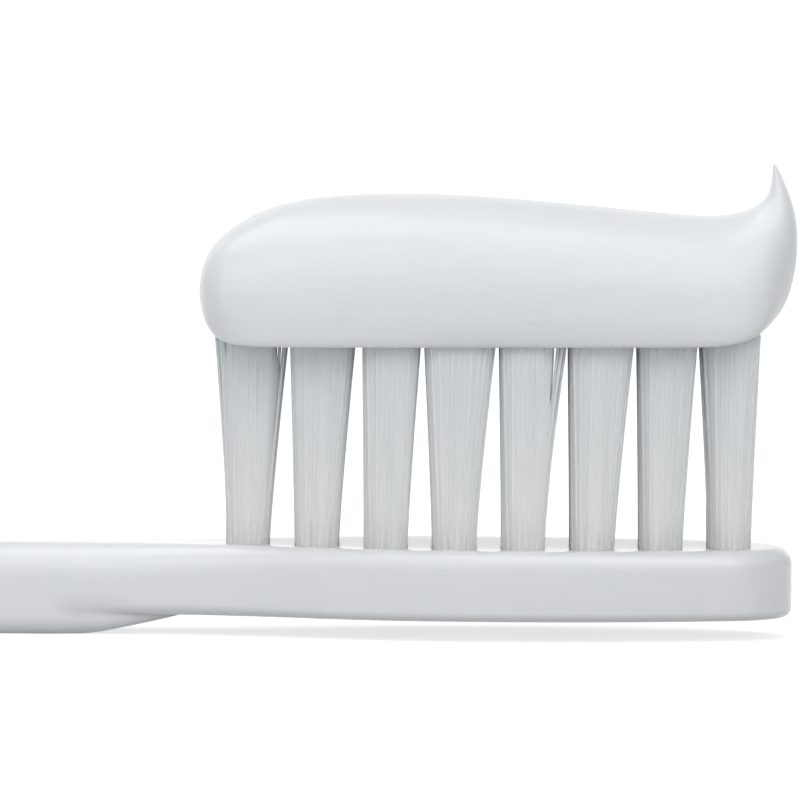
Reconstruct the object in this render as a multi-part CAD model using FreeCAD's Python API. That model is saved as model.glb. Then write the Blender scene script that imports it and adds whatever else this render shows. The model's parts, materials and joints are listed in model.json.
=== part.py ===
import FreeCAD, Part
import math
import os

# A toothbrush with a ribbon of toothpaste on its bristles, in millimetres.
# +X runs along the brush to the tip of its head and +Z is the way the bristles point.
# The flat back of the grip lies on Z = 0, and X = 0 is the middle of the brush.

# Driving dimensions of the handle
brush_length = 180.0
head_length = 30.0
head_half_width = 5.5
head_side_radius = 40.0
head_widest_from_tip = 14.5
neck_half_width = 2.6
neck_length = 22.0
grip_half_width = 6.2
grip_blend_length = 42.0
face_height = 4.15
head_thickness = 3.2
grip_thickness = 6.4
top_edge_radius = 0.8
bottom_edge_radius = 0.9
keel_from_tip = 27.0
keel_bow_length = 6.5
keel_slope_degrees = 12.0
keel_ease_radius = 8.0

# Driving dimensions of the bristle tufts and their anchors
bristle_length = 10.0
tuft_diameter = 2.0
hole_clearance = 0.03
hole_depth = 2.2
column_pitch = 3.12
first_column_from_tip = 2.9
tufts_in_column = [2, 3, 3, 3, 3, 3, 2, 2]
rim_at_outer_tufts = 1.1
gap_between_tufts = 0.2
tuft_lean = 0.18
flute_count = 10
flute_share = 0.09
fold_length = 0.45
fold_share = 0.6
anchor_width = 2.6
anchor_height = 1.1
anchor_thickness = 0.25
anchor_above_fold = 0.3
anchor_turn_degrees = 45.0

# Driving dimensions of the toothpaste
paste_length = 27.1
paste_half_width = 5.0
paste_height = 6.8
paste_sink = 0.8
paste_past_tip = 0.27

# Places that follow from them
tip_x = brush_length / 2
tail_x = -brush_length / 2
neck_x = tip_x - head_length
neck_end_x = neck_x - neck_length
neck_middle_x = (neck_x + neck_end_x) / 2
grip_x = neck_end_x - grip_blend_length
underside = face_height - head_thickness
hole_floor = face_height - hole_depth
tuft_radius = tuft_diameter / 2
hole_radius = tuft_radius + hole_clearance
tips_height = face_height + bristle_length
paste_bottom = tips_height - paste_sink
up = FreeCAD.Vector(0, 0, 1)


def point(x, y, z=0.0):
    return FreeCAD.Vector(x, y, z)


def line(start, end):
    return Part.LineSegment(start, end).toShape()


def arc(start, middle, end):
    return Part.Arc(start, middle, end).toShape()


def flat_face(edges):
    return Part.Face(Part.Wire(Part.__sortEdges__(edges)))


def mirrored(edges):
    """The same edges on the other side of the brush."""
    return [edge.mirror(point(0, 0), point(0, 1)) for edge in edges]


def nose_radius():
    """Radius of the round tip that runs on smoothly into the head's long side."""
    drop = head_side_radius - head_half_width
    square = head_side_radius ** 2 - drop ** 2 - head_widest_from_tip ** 2
    return square / (2 * (head_side_radius - head_widest_from_tip))


def nose_end():
    """Where the round tip meets the long side, as distances from the tip and the middle."""
    radius = nose_radius()
    share = radius / (head_side_radius - radius)
    return radius - share * (head_widest_from_tip - radius), share * (head_side_radius - head_half_width)


def head_side(from_tip):
    """Half width of the head at a distance from its tip."""
    if from_tip < nose_end()[0]:
        return math.sqrt(nose_radius() ** 2 - (nose_radius() - from_tip) ** 2)
    if from_tip < head_widest_from_tip:
        past = head_widest_from_tip - from_tip
        return head_half_width - head_side_radius + math.sqrt(head_side_radius ** 2 - past ** 2)
    run = head_length - head_widest_from_tip
    rise = head_half_width - neck_half_width
    radius = (run * run + rise * rise) / (4 * rise)
    past = min(from_tip, head_length) - head_widest_from_tip
    if past < run / 2:
        return head_half_width - radius + math.sqrt(radius ** 2 - past ** 2)
    return neck_half_width + radius - math.sqrt(radius ** 2 - (run - past) ** 2)


def s_blend(start, end):
    """Two equal arcs that leave and arrive along X."""
    run = end.x - start.x
    rise = end.y - start.y
    radius = (run * run + rise * rise) / (4 * abs(rise))
    half_angle = math.asin(abs(run) / 2 / radius) / 2
    step = point(
        math.copysign(radius * math.sin(half_angle), run),
        math.copysign(radius * (1 - math.cos(half_angle)), rise),
    )
    middle = (start + end) / 2
    return [arc(start, start + step, middle), arc(middle, end - step, end)]


def rounded_bottom(solid):
    """Round the edges that run along the foot of a solid."""
    low = [e for e in solid.Edges if e.BoundBox.ZMax < underside + 0.05]
    along = [e for e in low if e.BoundBox.XLength > 0.01]
    return solid.makeFillet(bottom_edge_radius, along)


def make_head():
    """Head and neck: flat face, flat back."""
    widest = point(tip_x - head_widest_from_tip, head_half_width)
    nose_x, nose_y = nose_end()
    nose = point(tip_x - nose_x, nose_y)
    between = (nose_x + head_widest_from_tip) / 2
    far = [line(point(neck_middle_x, neck_half_width), point(neck_x, neck_half_width))]
    far += s_blend(point(neck_x, neck_half_width), widest)
    far.append(arc(widest, point(tip_x - between, head_side(between)), nose))
    tip = arc(nose, point(tip_x, 0), point(nose.x, -nose.y))
    end = line(point(neck_middle_x, neck_half_width), point(neck_middle_x, -neck_half_width))
    plan = flat_face([tip, end] + far + mirrored(far))
    plan.translate(up * underside)
    return rounded_bottom(plan.extrude(up * head_thickness))


def grip_plan():
    """The grip from above: a bow under the neck, an easy widening and a round tail."""
    nose_x = tip_x - keel_from_tip
    bow_x = nose_x - keel_bow_length
    oval = Part.Ellipse(point(nose_x, 0), point(bow_x, neck_half_width), point(bow_x, 0))
    bow = Part.ArcOfEllipse(oval, -math.pi / 2, math.pi / 2).toShape()
    round_x = tail_x + grip_half_width
    side = [line(point(bow_x, neck_half_width), point(neck_end_x, neck_half_width))]
    side += s_blend(point(neck_end_x, neck_half_width), point(grip_x, grip_half_width))
    side.append(line(point(grip_x, grip_half_width), point(round_x, grip_half_width)))
    tail = arc(point(round_x, grip_half_width), point(tail_x, 0), point(round_x, -grip_half_width))
    return flat_face([bow, tail] + side + mirrored(side))


def grip_profile():
    """The grip from its side, with X along and Z written as Y."""
    slope = math.radians(keel_slope_degrees)
    nose_x = tip_x - keel_from_tip
    corner_x = nose_x - underside / math.tan(slope)
    ease = keel_ease_radius * math.tan(slope / 2)
    flat_end = point(corner_x - ease, 0)
    half = slope / 2
    ease_middle = flat_end + point(math.sin(half), 1 - math.cos(half)) * keel_ease_radius
    slope_start = flat_end + point(math.sin(slope), 1 - math.cos(slope)) * keel_ease_radius
    front_x = nose_x + 3.0
    behind_x = tail_x - 3.0
    front = point(front_x, (front_x - corner_x) * math.tan(slope))
    edges = [arc(flat_end, ease_middle, slope_start), line(slope_start, front)]
    edges.append(line(front, point(front_x, face_height)))
    edges.append(line(point(front_x, face_height), point(neck_end_x, face_height)))
    edges += s_blend(point(neck_end_x, face_height), point(grip_x, grip_thickness))
    edges.append(line(point(grip_x, grip_thickness), point(behind_x, grip_thickness)))
    edges.append(line(point(behind_x, grip_thickness), point(behind_x, 0)))
    edges.append(line(point(behind_x, 0), flat_end))
    return flat_face(edges)


def make_grip():
    """Grip with its keel, flat on its back."""
    slab = grip_plan().extrude(up * (grip_thickness + 1))
    profile = grip_profile()
    profile.rotate(point(0, 0), point(1, 0), 90)
    profile.translate(point(0, grip_half_width * 2))
    return rounded_bottom(slab.common(profile.extrude(point(0, -grip_half_width * 4))))


def top_edges(solid):
    """Edges between a face that looks up and one that looks sideways."""
    found = []
    for edge in solid.Edges:
        spot = edge.valueAt((edge.FirstParameter + edge.LastParameter) / 2)
        rises = []
        for face in solid.ancestorsOfType(edge, Part.Face):
            u, v = face.Surface.parameter(spot)
            rises.append(face.normalAt(u, v).z)
        if max(rises) > 0.9 and min(rises) < 0.3:
            found.append(edge)
    return found


def tuft_places():
    """Column, row and foot of each tuft on the face, with the room it has at its tips."""
    places = []
    for column, count in enumerate(tufts_in_column):
        from_tip = first_column_from_tip + column * column_pitch
        outer = head_side(from_tip) - rim_at_outer_tufts - tuft_radius
        row_pitch = 2 * outer / (count - 1)
        room = min(row_pitch, column_pitch) - gap_between_tufts
        for row in range(count):
            foot = point(tip_x - from_tip, row * row_pitch - outer, face_height)
            places.append((column + 1, row + 1, foot, room / 2))
    return places


def tuft_section(foot, radius, height, lean=0.0):
    """Corners of the fluted outline of a bundle of bristles at a height."""
    corners = []
    for step in range(2 * flute_count):
        angle = math.pi * step / flute_count
        reach = radius * (1 - flute_share * (step % 2))
        x = foot.x + lean + reach * math.cos(angle)
        y = foot.y + reach * math.sin(angle)
        corners.append(point(x, y, height))
    return corners


def flat_sided(sections):
    """A solid of flat sides through sections with the same number of corners."""
    outlines = [sections[0], sections[-1]]
    for low, high in zip(sections, sections[1:]):
        for i in range(len(low)):
            outlines.append([low[i - 1], low[i], high[i], high[i - 1]])
    faces = [Part.Face(Part.makePolygon(outline + outline[:1])) for outline in outlines]
    shell = Part.makeShell(faces)
    shell.sewShape()
    return Part.makeSolid(Part.Shell(shell.Faces))


def make_tuft(foot, tip_radius):
    """A bundle folded round its anchor, straight in its hole and spread at its tips."""
    bottom = hole_floor + hole_clearance
    sections = [
        tuft_section(foot, tuft_radius * fold_share, bottom),
        tuft_section(foot, tuft_radius, bottom + fold_length),
        tuft_section(foot, tuft_radius, face_height),
        tuft_section(foot, tip_radius, tips_height, tuft_lean),
    ]
    return flat_sided(sections)


def make_anchor(foot, height):
    """A flat plate across a hole, from the fold up."""
    plate = Part.makeBox(anchor_width, anchor_thickness, height)
    plate.translate(point(-anchor_width / 2, -anchor_thickness / 2))
    plate.rotate(point(0, 0), up, anchor_turn_degrees)
    plate.translate(point(foot.x, foot.y, hole_floor + anchor_above_fold))
    return plate


def make_handle():
    """One moulding with a hole for each tuft and a slit for each anchor."""
    body = make_head().fuse(make_grip()).removeSplitter()
    body = body.Solids[0].makeFillet(top_edge_radius, top_edges(body.Solids[0]))
    tools = []
    for column, row, foot, room in tuft_places():
        hole = Part.makeCylinder(hole_radius, hole_depth + 1, point(foot.x, foot.y, hole_floor))
        tools.append(hole.fuse(make_anchor(foot, hole_depth)))
    return body.cut(tools)


# The ribbon of toothpaste, station by station from its end over the neck to its curl.
# Each row holds the top of a section, its foot and its half width, as shares of the
# ribbon's length, height and half width.
paste_stations = [
    (0.006, 0.50, 0.012, 0.15, 0.45),
    (0.021, 0.635, 0.038, 0.05, 0.68),
    (0.054, 0.76, 0.076, -0.02, 0.84),
    (0.105, 0.877, 0.126, -0.02, 0.93),
    (0.168, 0.953, 0.185, -0.02, 0.97),
    (0.300, 1.0, 0.300, -0.02, 1.0),
    (0.469, 0.985, 0.469, -0.02, 1.0),
    (0.637, 0.926, 0.640, -0.02, 0.99),
    (0.771, 0.877, 0.787, -0.02, 0.96),
    (0.838, 0.853, 0.880, -0.01, 0.90),
    (0.883, 0.865, 0.930, 0.07, 0.80),
    (0.918, 0.903, 0.972, 0.235, 0.64),
    (0.938, 0.951, 0.993, 0.41, 0.48),
    (0.949, 1.012, 1.000, 0.632, 0.36),
    (0.953, 1.07, 0.996, 0.868, 0.26),
    (0.955, 1.14, 0.981, 1.037, 0.16),
    (0.956, 1.187, 0.967, 1.16, 0.07),
]
paste_start = (0.0, 0.32)
paste_end = (0.957, 1.22)


def paste_spot(along, height, across=0.0):
    """A point of the ribbon from shares of its length, height and half width."""
    start_x = tip_x + paste_past_tip - paste_length
    x = start_x + along * paste_length
    return point(x, across * paste_half_width, paste_bottom + height * paste_height)


# One side of a section from its foot to its crown, as shares of its half width and height.
paste_side = [(0.93, 0.0), (0.985, 0.12), (1.0, 0.3), (0.95, 0.55), (0.8, 0.77), (0.5, 0.93)]


def paste_section(station):
    """An arch over a flat foot."""
    top_along, top_height, foot_along, foot_height, width = station
    far = [(-across, share) for across, share in reversed(paste_side)]
    spots = []
    for across, share in paste_side + [(0.0, 1.0)] + far:
        along = foot_along + (top_along - foot_along) * share
        height = foot_height + (top_height - foot_height) * share
        spots.append(paste_spot(along, height, width * across))
    arch = Part.BSplineCurve()
    arch.interpolate(spots)
    return Part.Wire([arch.toShape(), line(spots[-1], spots[0])])


def make_paste(tufts):
    """The ribbon, flat below and sunk over the tips of the tufts."""
    start = Part.Vertex(paste_spot(*paste_start))
    end = Part.Vertex(paste_spot(*paste_end))
    sections = [paste_section(station) for station in paste_stations]
    ribbon = Part.makeLoft([start] + sections + [end], True, False)
    length = 2 * paste_length
    above = Part.makeBox(length, length, length, point(tip_x - length * 0.75, -paste_length, paste_bottom))
    return ribbon.common(above).cut(tufts)


def save(shape, name):
    shape.exportStep("parts/" + name + ".step")
    box = shape.BoundBox
    print(name, len(shape.Solids), shape.isValid(), round(shape.Volume, 3))
    print([round(v, 2) for v in (box.XMin, box.XMax, box.YMin, box.YMax, box.ZMin, box.ZMax)])


def main():
    os.makedirs("parts", exist_ok=True)
    save(make_handle(), "handle")
    anchors = []
    tufts = []
    for column, row, foot, room in tuft_places():
        anchor = make_anchor(foot, anchor_height)
        tuft = make_tuft(foot, room).cut(anchor)
        anchors.append(anchor)
        tufts.append(tuft)
        save(tuft, f"tuft_c{column}_r{row}")
    save(Part.makeCompound(anchors), "tuft_anchors")
    save(make_paste(tufts), "toothpaste")


main()
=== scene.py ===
# %% [markdown]
# # A toothbrush with a ribbon of toothpaste
#
# The brush lies on the flat back of its grip with the bristles up. The solid model of it is
# loaded first and stays as it is: every piece made here is laid over one of its nodes, in the
# same frame, in metres. +X runs to the tip of the head and +Z is the way the bristles point.

# %% Load the solid model
import bmesh
import bpy
import json
import math
from mathutils import Matrix, Vector

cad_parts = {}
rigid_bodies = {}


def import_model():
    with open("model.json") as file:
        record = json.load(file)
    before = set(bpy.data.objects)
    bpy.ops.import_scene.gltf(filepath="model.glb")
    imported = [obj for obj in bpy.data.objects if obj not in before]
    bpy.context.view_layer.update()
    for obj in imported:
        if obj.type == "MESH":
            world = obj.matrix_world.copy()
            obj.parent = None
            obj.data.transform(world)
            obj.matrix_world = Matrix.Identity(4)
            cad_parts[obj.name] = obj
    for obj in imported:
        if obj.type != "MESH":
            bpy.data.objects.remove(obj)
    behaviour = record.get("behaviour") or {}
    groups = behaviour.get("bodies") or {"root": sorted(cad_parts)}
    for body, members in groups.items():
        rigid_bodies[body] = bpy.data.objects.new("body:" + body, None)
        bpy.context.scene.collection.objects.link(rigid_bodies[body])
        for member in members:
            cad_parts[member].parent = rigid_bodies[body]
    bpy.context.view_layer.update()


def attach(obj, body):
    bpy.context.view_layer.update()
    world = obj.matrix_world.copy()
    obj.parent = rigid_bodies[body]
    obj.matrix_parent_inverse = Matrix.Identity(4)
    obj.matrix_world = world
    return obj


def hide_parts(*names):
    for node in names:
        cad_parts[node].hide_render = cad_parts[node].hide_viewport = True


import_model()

# %% [markdown]
# The sizes are in millimetres, as on a drawing, and `MM` turns them into Blender's metres when
# a mesh is written. Everything that belongs together is worked out from the same few values.

# %% Sizes shared by the pieces
MM = 0.001

TIP_X = 90.0
TAIL_X = -90.0
FACE_Z = 4.15
UNDERSIDE_Z = 0.95
BRISTLE_LENGTH = 10.0
TIPS_Z = FACE_Z + BRISTLE_LENGTH

print("bristle tips at", TIPS_Z, "mm")

# %% [markdown]
# Three of the finishes are pale: the handle's plastic, the nylon of the bristles and the gel.
# Light goes some way into all of them. In the thick plastic and the gel, the Principled shader
# does that with its subsurface weight. In the thin nylon, a Translucent shader lets it through.
# The helpers below start a material, lay noise on it and turn noise into colour or relief, so
# that each finish can add its own detail. Noise is laid on Object coordinates, in metres, and
# stays with the piece wherever it is looked at from.

# %% Helpers for the materials
def start_material(name):
    material = bpy.data.materials.new(name)
    material.use_nodes = True
    nodes = material.node_tree.nodes
    links = material.node_tree.links
    shader = nodes["Principled BSDF"]
    return material, nodes, links, shader


def noise_on_object(nodes, links, scale, stretch=(1, 1, 1), detail=3.0):
    """Noise in metres of the object, stretched along its own axes."""
    place = nodes.new("ShaderNodeTexCoord")
    mapping = nodes.new("ShaderNodeMapping")
    mapping.inputs["Scale"].default_value = stretch
    noise = nodes.new("ShaderNodeTexNoise")
    noise.inputs["Scale"].default_value = scale
    noise.inputs["Detail"].default_value = detail
    links.new(place.outputs["Object"], mapping.inputs["Vector"])
    links.new(mapping.outputs["Vector"], noise.inputs["Vector"])
    return noise


def colour_between(nodes, links, factor, low, high, low_at=0.3, high_at=0.7):
    """A soft change between two colours."""
    ramp = nodes.new("ShaderNodeValToRGB")
    ramp.color_ramp.elements[0].position = low_at
    ramp.color_ramp.elements[0].color = (*low, 1)
    ramp.color_ramp.elements[1].position = high_at
    ramp.color_ramp.elements[1].color = (*high, 1)
    links.new(factor, ramp.inputs["Fac"])
    return ramp.outputs["Color"]


def add_bump(nodes, links, shader, height, depth, strength):
    bump = nodes.new("ShaderNodeBump")
    bump.inputs["Strength"].default_value = strength
    bump.inputs["Distance"].default_value = depth
    links.new(height, bump.inputs["Height"])
    links.new(bump.outputs["Normal"], shader.inputs["Normal"])

# %% [markdown]
# The handle is polished white polypropylene. It has a clear gloss, a cool white colour that
# hardly varies, and the faintest unevenness left by the mould. A plain white would look like
# paper, so the gloss is sharp and a little light scatters below the surface.

# %% White handle plastic
def make_handle_plastic():
    material, nodes, links, shader = start_material("white_handle_plastic")
    cloud = noise_on_object(nodes, links, 180.0)
    colour = colour_between(
        nodes, links, cloud.outputs["Fac"], (0.785, 0.81, 0.843), (0.815, 0.835, 0.863)
    )
    links.new(colour, shader.inputs["Base Color"])
    shader.inputs["Roughness"].default_value = 0.15
    shader.inputs["IOR"].default_value = 1.49
    shader.inputs["Subsurface Weight"].default_value = 0.25
    shader.inputs["Subsurface Radius"].default_value = (1.0, 1.0, 1.0)
    shader.inputs["Subsurface Scale"].default_value = 0.0008
    mould = noise_on_object(nodes, links, 260.0, (0.35, 1.0, 1.0), 2.0)
    add_bump(nodes, links, shader, mould.outputs["Fac"], 0.00003, 0.6)
    return material


handle_plastic = make_handle_plastic()
print("made", handle_plastic.name)

# %% [markdown]
# Nylon filament is milky and slightly cool, satin rather than shiny, and a touch warmer near the
# handle than at the tips. Near the handle it is also painted lighter: painted light, as if thrown
# up from the face below. Seen together, the filaments show as fine streaks, so the colour and
# the bump are stretched along Z. A bundle of bright filaments looks flat rather than round,
# because light comes back from between them: a fully rough diffuse and some sheen do the same.
# Subsurface light isn't used here, because it turns dark where filaments touch each other.

# %% Nylon of the bristles
NYLON_LETS_THROUGH = 0.24


def tint_and_painted_light_by_height(nodes, links):
    """A fade from the warmer foot to the cooler tips, with the foot painted lighter as painted
    light.
    """
    place = nodes.new("ShaderNodeTexCoord")
    apart = nodes.new("ShaderNodeSeparateXYZ")
    links.new(place.outputs["Object"], apart.inputs[0])
    height = nodes.new("ShaderNodeMapRange")
    height.inputs["From Min"].default_value = FACE_Z * MM
    height.inputs["From Max"].default_value = TIPS_Z * MM
    links.new(apart.outputs["Z"], height.inputs["Value"])
    # The lighter foot is painted light from the face below; its warmer tint is the nylon's own.
    foot = (0.985, 0.99, 0.98)
    tips = (0.93, 0.955, 0.975)
    return colour_between(nodes, links, height.outputs[0], foot, tips, 0.0, 1.0)


def make_nylon():
    material, nodes, links, shader = start_material("milky_nylon")
    fade = tint_and_painted_light_by_height(nodes, links)
    streak = noise_on_object(nodes, links, 3500.0, (1.0, 1.0, 0.02), 2.0)
    dim, clear = (0.95, 0.96, 0.965), (1.0, 1.0, 1.0)
    faint = colour_between(nodes, links, streak.outputs["Fac"], dim, clear)
    colour = nodes.new("ShaderNodeMix")
    colour.data_type = "RGBA"
    colour.blend_type = "MULTIPLY"
    colour.inputs["Factor"].default_value = 1.0
    links.new(fade, colour.inputs["A"])
    links.new(faint, colour.inputs["B"])
    links.new(colour.outputs["Result"], shader.inputs["Base Color"])
    shader.inputs["Roughness"].default_value = 0.5
    shader.inputs["Diffuse Roughness"].default_value = 1.0
    shader.inputs["Sheen Weight"].default_value = 0.3
    shader.inputs["IOR"].default_value = 1.53
    add_bump(nodes, links, shader, streak.outputs["Fac"], 0.00002, 0.5)
    through = nodes.new("ShaderNodeBsdfTranslucent")
    links.new(colour.outputs["Result"], through.inputs["Color"])
    both = nodes.new("ShaderNodeMixShader")
    both.inputs["Fac"].default_value = NYLON_LETS_THROUGH
    links.new(shader.outputs["BSDF"], both.inputs[1])
    links.new(through.outputs["BSDF"], both.inputs[2])
    links.new(both.outputs["Shader"], nodes["Material Output"].inputs["Surface"])
    return material


nylon = make_nylon()
print("made", nylon.name)

# %% [markdown]
# The toothpaste is a smooth wet gel: bright white, soft under the light and glossy on top. Faint
# ridges run along it, where the nozzle drew it out, and there are tiny wet bumps. Both are too
# fine to model, so they are one relief: a stretched noise plus the peaks of a finer one.

# %% White toothpaste gel
def make_gel():
    material, nodes, links, shader = start_material("wet_white_gel")
    cloud = noise_on_object(nodes, links, 120.0)
    colour = colour_between(
        nodes, links, cloud.outputs["Fac"], (0.797, 0.83, 0.857), (0.827, 0.852, 0.876)
    )
    links.new(colour, shader.inputs["Base Color"])
    shader.inputs["Roughness"].default_value = 0.28
    shader.inputs["IOR"].default_value = 1.4
    shader.inputs["Specular IOR Level"].default_value = 0.35
    shader.inputs["Subsurface Weight"].default_value = 0.7
    shader.inputs["Subsurface Radius"].default_value = (1.0, 1.0, 1.0)
    shader.inputs["Subsurface Scale"].default_value = 0.0015
    shader.inputs["Coat Weight"].default_value = 0.1
    shader.inputs["Coat Roughness"].default_value = 0.12
    ridges = noise_on_object(nodes, links, 600.0, (0.15, 1.0, 1.0), 3.0)
    bumps = noise_on_object(nodes, links, 1500.0, (0.6, 1.0, 1.0), 1.0)
    wet = nodes.new("ShaderNodeMapRange")
    wet.inputs["From Min"].default_value = 0.62
    wet.inputs["From Max"].default_value = 0.75
    links.new(bumps.outputs["Fac"], wet.inputs["Value"])
    relief = nodes.new("ShaderNodeMath")
    relief.operation = "MULTIPLY_ADD"
    relief.inputs[1].default_value = 0.14
    links.new(wet.outputs[0], relief.inputs[0])
    links.new(ridges.outputs["Fac"], relief.inputs[2])
    add_bump(nodes, links, shader, relief.outputs[0], 0.00016, 0.6)
    return material


gel = make_gel()
print("made", gel.name)

# %% [markdown]
# The anchors are small flat plates cut from brass wire. They sit inside the head and are only
# seen where a hole is looked into, so they keep their solid's shape and get plain metal with
# a fine drawn grain.

# %% Drawn brass of the anchors
def make_brass():
    material, nodes, links, shader = start_material("drawn_brass")
    grain = noise_on_object(nodes, links, 4000.0, (1.0, 1.0, 0.1), 2.0)
    dark, bright = (0.58, 0.47, 0.24), (0.72, 0.60, 0.33)
    colour = colour_between(nodes, links, grain.outputs["Fac"], dark, bright)
    links.new(colour, shader.inputs["Base Color"])
    shader.inputs["Metallic"].default_value = 1.0
    shader.inputs["Roughness"].default_value = 0.35
    return material


brass = make_brass()
for item in bpy.data.objects:
    if item.name.startswith("tuft_anchors"):
        item.data.materials.clear()
        item.data.materials.append(brass)
        print("brass on", item.name)

# %% [markdown]
# The handle is one moulding. Its outline from above is a round tip that runs on into two
# long side arcs, an S curve into the neck, and another S curve out to the grip. `half_width`
# gives that outline as a formula, and two more formulas give the height of its top and of its
# underside.

# %% Outline of the handle
HEAD_LENGTH = 30.0
HEAD_HALF_WIDTH = 5.5
HEAD_SIDE_RADIUS = 40.0
WIDEST_FROM_TIP = 14.5
NECK_HALF_WIDTH = 2.6
NECK_LENGTH = 22.0
GRIP_HALF_WIDTH = 6.2
GRIP_BLEND = 42.0
GRIP_THICKNESS = 6.4
HEAD_TOP_RADIUS = 0.8
NECK_TOP_RADIUS = 1.5
HEAD_BOTTOM_RADIUS = 0.45
NECK_BOTTOM_RADIUS = 0.55
GRIP_BOTTOM_RADIUS = 0.9

NECK_X = TIP_X - HEAD_LENGTH
NECK_END_X = NECK_X - NECK_LENGTH
GRIP_X = NECK_END_X - GRIP_BLEND
EDGES_CHANGE_FROM_X = NECK_X + 10.0
TOP_EDGE_CHANGED_X = NECK_X - 2.0
BOTTOM_EDGE_CHANGED_X = NECK_X + 2.0
SIDE_DROP = HEAD_SIDE_RADIUS - HEAD_HALF_WIDTH
NOSE_RADIUS = (HEAD_SIDE_RADIUS ** 2 - SIDE_DROP ** 2 - WIDEST_FROM_TIP ** 2) / (
    2 * (HEAD_SIDE_RADIUS - WIDEST_FROM_TIP)
)
NOSE_SHARE = NOSE_RADIUS / (HEAD_SIDE_RADIUS - NOSE_RADIUS)
NOSE_END = NOSE_RADIUS - NOSE_SHARE * (WIDEST_FROM_TIP - NOSE_RADIUS)


def s_curve(x, x0, x1, y0, y1):
    """Two equal arcs from y0 at x0 to y1 at x1, flat at both ends."""
    run = abs(x1 - x0)
    rise = abs(y1 - y0)
    radius = (run * run + rise * rise) / (4 * rise)
    past = min(max((x - x0) / (x1 - x0), 0.0), 1.0) * run
    if past < run / 2:
        climb = radius - math.sqrt(radius ** 2 - past ** 2)
    else:
        climb = rise - radius + math.sqrt(radius ** 2 - (run - past) ** 2)
    return y0 + math.copysign(climb, y1 - y0)


def half_width(x):
    from_tip = TIP_X - x
    if from_tip < NOSE_END:
        return math.sqrt(max(NOSE_RADIUS ** 2 - (NOSE_RADIUS - from_tip) ** 2, 0.0))
    if from_tip < WIDEST_FROM_TIP:
        past = WIDEST_FROM_TIP - from_tip
        return math.sqrt(HEAD_SIDE_RADIUS ** 2 - past ** 2) - SIDE_DROP
    if x > NECK_X:
        return s_curve(x, TIP_X - WIDEST_FROM_TIP, NECK_X, HEAD_HALF_WIDTH, NECK_HALF_WIDTH)
    round_x = TAIL_X + GRIP_HALF_WIDTH
    if x < round_x:
        return math.sqrt(max(GRIP_HALF_WIDTH ** 2 - (round_x - x) ** 2, 0.0))
    return s_curve(x, NECK_END_X, GRIP_X, NECK_HALF_WIDTH, GRIP_HALF_WIDTH)


def top_height(x):
    return s_curve(x, NECK_END_X, GRIP_X, FACE_Z, GRIP_THICKNESS)


def eased(x, x0, x1, y0, y1):
    """A soft step from y0 at x0 to y1 at x1."""
    share = min(max((x - x0) / (x1 - x0), 0.0), 1.0)
    return y0 + (y1 - y0) * share * share * (3 - 2 * share)


def top_radius(x):
    return eased(x, EDGES_CHANGE_FROM_X, TOP_EDGE_CHANGED_X, HEAD_TOP_RADIUS, NECK_TOP_RADIUS)


def bottom_radius(x):
    span = EDGES_CHANGE_FROM_X, BOTTOM_EDGE_CHANGED_X
    return eased(x, *span, HEAD_BOTTOM_RADIUS, NECK_BOTTOM_RADIUS)


print("nose radius", round(NOSE_RADIUS, 3), "mm")
print("half width at the widest", half_width(TIP_X - WIDEST_FROM_TIP), "mm")

# %% [markdown]
# Below the neck the grip begins as a keel: a bow in plan that slopes down to the flat back. The
# neck's rounded lower edge runs on above it, so a crease shows between the two. Further back the
# keel grows out to the full width and the crease fades away. `keel_floor` is the height of the
# underside, and `keel_half_width` is how far the keel reaches to each side.

# %% Underside of the handle
KEEL_TIP_X = TIP_X - 27.4
KEEL_BOW = 5.0
KEEL_BOW_HALF_WIDTH = 2.3
KEEL_FULL_X = KEEL_TIP_X - 6.5
KEEL_SLOPE_DEGREES = 12.0
KEEL_EASE = 8.0
CREASE_FADES_FROM = 1.5
CREASE_GONE_AT = 5.0
KEEL_CORNER_X = KEEL_TIP_X - UNDERSIDE_Z / math.tan(math.radians(KEEL_SLOPE_DEGREES))


def keel_floor(x):
    slope = math.radians(KEEL_SLOPE_DEGREES)
    ease = KEEL_EASE * math.tan(slope / 2)
    if x < KEEL_CORNER_X - ease:
        return 0.0
    if x < KEEL_CORNER_X + ease * math.cos(slope):
        past = x - KEEL_CORNER_X + ease
        return KEEL_EASE - math.sqrt(KEEL_EASE ** 2 - past ** 2)
    return min((x - KEEL_CORNER_X) * math.tan(slope), UNDERSIDE_Z)


def keel_half_width(x):
    past = (x - (KEEL_TIP_X - KEEL_BOW)) / KEEL_BOW
    bow = KEEL_BOW_HALF_WIDTH * math.sqrt(max(1 - max(past, 0.0) ** 2, 0.0))
    return eased(x, KEEL_TIP_X - KEEL_BOW, KEEL_FULL_X, bow, half_width(x))


print("keel runs from", KEEL_TIP_X, "to", round(KEEL_CORNER_X, 2), "mm")

# %% [markdown]
# The mesh is a stack of closed rings along X. A box with modifiers could not follow both the
# outline and the keel, and rings do it from the formulas. They stand closer together where the
# outline turns quickly, at the tip, at the tail and at the keel.

# %% Places of the rings
END_STEPS = 24
KEEL_STEP = 0.08
HEAD_STEP = 0.4
GRIP_STEP = 0.9
HEAD_STEPS_UNTIL_X = 30.0
KEEL_STEPS_FROM_X = KEEL_FULL_X - 1.0
KEEL_STEPS_UNTIL_X = KEEL_TIP_X + 0.5


def ring_step(x):
    if KEEL_STEPS_FROM_X < x < KEEL_STEPS_UNTIL_X:
        return KEEL_STEP
    return HEAD_STEP if x > HEAD_STEPS_UNTIL_X else GRIP_STEP


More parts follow.
